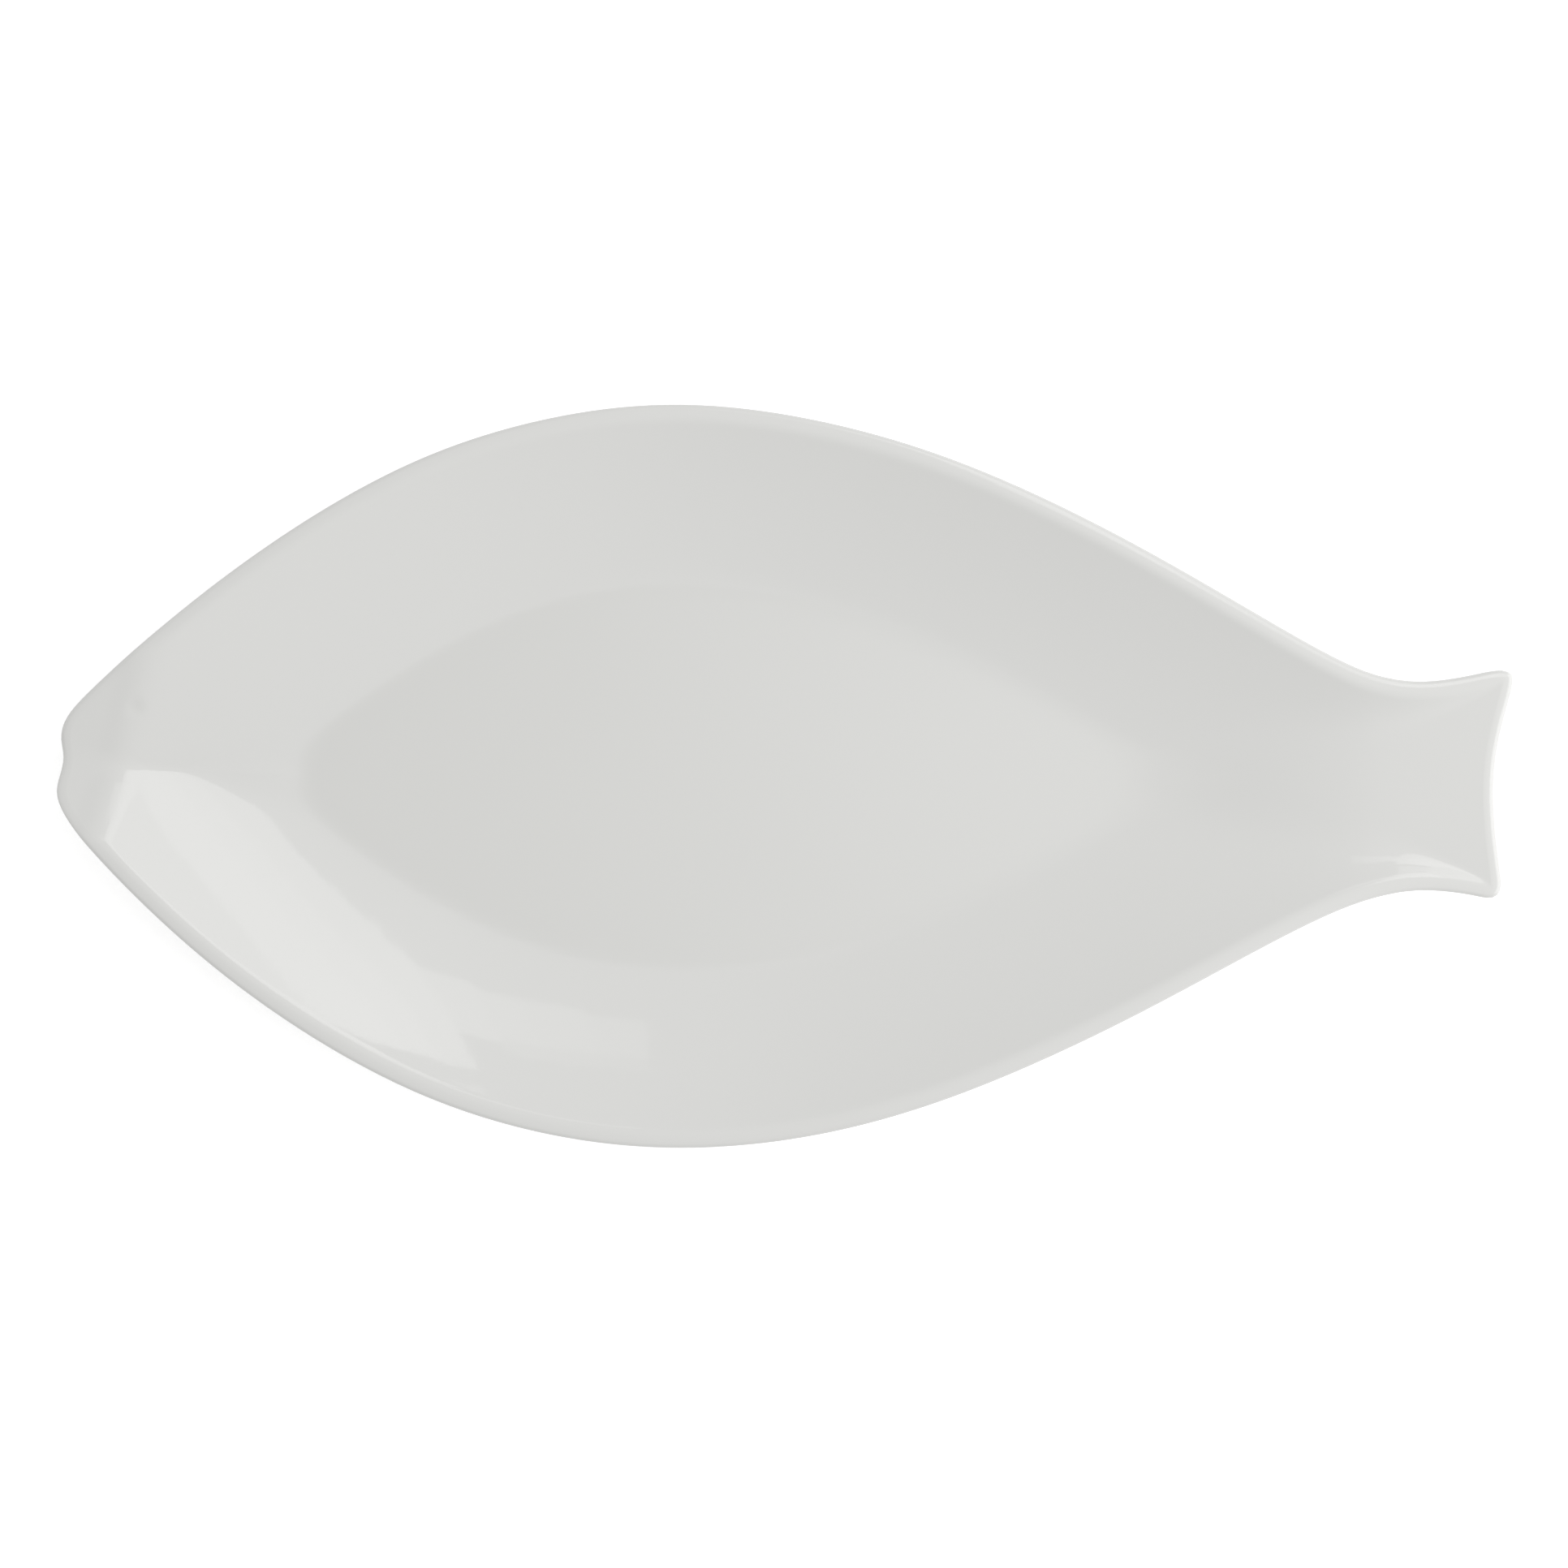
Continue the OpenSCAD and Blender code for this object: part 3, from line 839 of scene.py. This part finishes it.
class PLATTER_OT_glaze_coat(bpy.types.Operator):
    """Make the glass coat over the well, the wall, the rim and the outside"""
    bl_idname = "platter.glaze_coat"
    bl_label = "Glaze Coat"

    def execute(self, context):
        settings = context.scene.platter_sizes
        surface = Surface("Glazed Dish")
        surface.sheet(TOP_RINGS, surface.dish_top)
        surface.sheet(RIM_RINGS, surface.rim)
        surface.sheet(UNDER_RINGS, surface.underside)
        surface.close()
        material = glaze_material(context.scene.platter_finish, settings)
        piece = surface.make("platter_glaze", settings, material, settings.glaze_thickness)
        finish_piece(piece, "glaze_coat")
        return {"FINISHED"}


class PLATTER_OT_base_glaze(bpy.types.Operator):
    """Make the patch of glaze inside the foot ring"""
    bl_idname = "platter.base_glaze"
    bl_label = "Base Glaze"

    def execute(self, context):
        settings = context.scene.platter_sizes
        surface = Surface("Glazed Base")
        surface.sheet(BASE_RINGS, surface.base)
        surface.disc(surface.base_floor)
        surface.close()
        material = bpy.data.materials.get("glaze") or glaze_material(context.scene.platter_finish, settings)
        piece = surface.make("platter_base_glaze", settings, material, settings.glaze_thickness)
        finish_piece(piece, "base_glaze")
        return {"FINISHED"}


class PLATTER_OT_porcelain_body(bpy.types.Operator):
    """Make the clay body under the glaze, with its bare foot ring"""
    bl_idname = "platter.porcelain_body"
    bl_label = "Porcelain Body"

    def execute(self, context):
        settings = context.scene.platter_sizes
        surface = Surface("Clay Body")
        surface.sheet(TOP_RINGS, surface.dish_top)
        surface.sheet(RIM_RINGS, surface.rim)
        surface.sheet(UNDER_RINGS, surface.underside)
        surface.sheet(FOOT_RINGS, surface.foot)
        surface.sheet(BASE_RINGS, surface.base)
        surface.disc(surface.base_floor)
        surface.close(sink=surface.size["glaze_thickness"])
        piece = surface.make("platter_body", settings, clay_material(context.scene.platter_finish))
        finish_piece(piece, "porcelain_body")
        return {"FINISHED"}


def floor_material():
    """White paper that keeps the platter's shadow."""
    material = bpy.data.materials.new("paper")
    material.use_nodes = True
    graph = Graph(material.node_tree)
    nodes = material.node_tree.nodes
    nodes.remove(nodes["Principled BSDF"])
    white = (PAPER_WHITE, PAPER_WHITE, PAPER_WHITE, 1)
    paper = graph.node("ShaderNodeBsdfDiffuse", None, {"Color": white})
    lift = graph.node("ShaderNodeEmission", None, {"Color": (1, 1, 1, 1), "Strength": PAPER_LIFT})
    lifted = graph.node("ShaderNodeAddShader", None, {0: paper, 1: lift})
    graph.feed(nodes["Material Output"].inputs["Surface"], graph.node("ShaderNodeMixShader", None, {
        0: background_rays(graph), 1: paper, 2: lifted}))
    return material


def background_rays(graph):
    """1 for the rays that show the background itself."""
    def ray(kind):
        return graph.node("ShaderNodeLightPath", output=kind)
    return graph.clamp(ray("Is Camera Ray") + ray("Is Glossy Ray") + ray("Is Transmission Ray"), 0, 1)


def add_lamp(name, place, way, size, brightness):
    """Softbox whose face is so bright and shines one way."""
    lamp = bpy.data.lights.new(name, "AREA")
    lamp.shape = "RECTANGLE"
    lamp.size, lamp.size_y = size
    lamp.energy = brightness * math.pi * size[0] * size[1]
    piece = bpy.data.objects.new(name, lamp)
    piece.location = place
    piece.rotation_mode = "QUATERNION"
    piece.rotation_quaternion = way.to_track_quat("-Z", "Y")
    bpy.context.scene.collection.objects.link(piece)


class PLATTER_OT_studio(bpy.types.Operator):
    """Make the paper, the lights and the camera"""
    bl_idname = "platter.studio"
    bl_label = "Studio"

    def execute(self, context):
        scene = context.scene
        studio = scene.platter_studio
        paper = bpy.data.meshes.new("paper")
        corners = [(x * PAPER_REACH, y * PAPER_REACH, 0) for x, y in ((-1, -1), (1, -1), (1, 1), (-1, 1))]
        paper.from_pydata(corners, [], [(0, 1, 2, 3)])
        paper.materials.append(floor_material())
        floor = bpy.data.objects.new("paper", paper)
        scene.collection.objects.link(floor)

        world = bpy.data.worlds.new("daylight")
        world.use_nodes = True
        graph = Graph(world.node_tree)
        graph.feed(world.node_tree.nodes["Background"].inputs["Strength"],
                   graph.blend(studio.daylight, 1.0, background_rays(graph)))
        world.node_tree.nodes["Background"].inputs["Color"].default_value = (1, 1, 1, 1)
        scene.world = world

        # The softbox is brightest in its middle.
        for left, right, near, far, share_lit in SOFTBOX_STRIPS:
            place = Vector(((left + right) / 2, (near + far) / 2, SOFTBOX_HEIGHT))
            size = (right - left, far - near)
            add_lamp("softbox", place, Vector((0, 0, -1)), size, studio.softbox * share_lit)
        for name, (place, size), brightness in (
                ("side light", SIDE_LIGHT, studio.side_light), ("fill light", FILL_LIGHT, studio.fill_light)):
            add_lamp(name, Vector(place), -Vector(place), size, brightness)

        camera = bpy.data.cameras.new("camera")
        piece = bpy.data.objects.new("camera", camera)
        scene.collection.objects.link(piece)
        # The outline that the photograph shows is the outermost line of the rim.
        frame_width = LENGTH * PHOTO_WIDTH / PHOTO_LENGTH
        pixel = frame_width / PHOTO_WIDTH
        middle_line = scene.platter_sizes.rim_height - scene.platter_sizes.rim_thickness / 2
        right, up = PHOTO_SHIFT
        piece.location = (right * pixel, up * pixel, middle_line + studio.camera_height)
        camera.lens = camera.sensor_width * studio.camera_height / frame_width
        scene.camera = piece
        scene.view_settings.view_transform = "Standard"
        return {"FINISHED"}


class PLATTER_PT_sidebar(bpy.types.Panel):
    """Sizes, finish and pieces of the platter"""
    bl_label = "Fish Platter"
    bl_space_type = "VIEW_3D"
    bl_region_type = "UI"
    bl_category = "Platter"

    def draw(self, context):
        scene = context.scene
        for group in (scene.platter_sizes, scene.platter_finish, scene.platter_studio):
            box = self.layout.box()
            for key in group.__annotations__:
                box.prop(group, key)
        for operator in OPERATORS:
            self.layout.operator(operator.bl_idname)


OPERATORS = (PLATTER_OT_porcelain_body, PLATTER_OT_glaze_coat, PLATTER_OT_base_glaze, PLATTER_OT_studio)
CLASSES = (PlatterSizes, PlatterFinish, StudioSettings, *OPERATORS, PLATTER_PT_sidebar)


def register():
    for made in CLASSES:
        bpy.utils.register_class(made)
    bpy.types.Scene.platter_sizes = PointerProperty(type=PlatterSizes)
    bpy.types.Scene.platter_finish = PointerProperty(type=PlatterFinish)
    bpy.types.Scene.platter_studio = PointerProperty(type=StudioSettings)


def unregister():
    del bpy.types.Scene.platter_sizes
    del bpy.types.Scene.platter_finish
    del bpy.types.Scene.platter_studio
    for made in reversed(CLASSES):
        bpy.utils.unregister_class(made)


def main():
    register()
    bpy.ops.platter.porcelain_body()
    bpy.ops.platter.glaze_coat()
    bpy.ops.platter.base_glaze()
    bpy.ops.platter.studio()


if __name__ == "__main__":
    main()
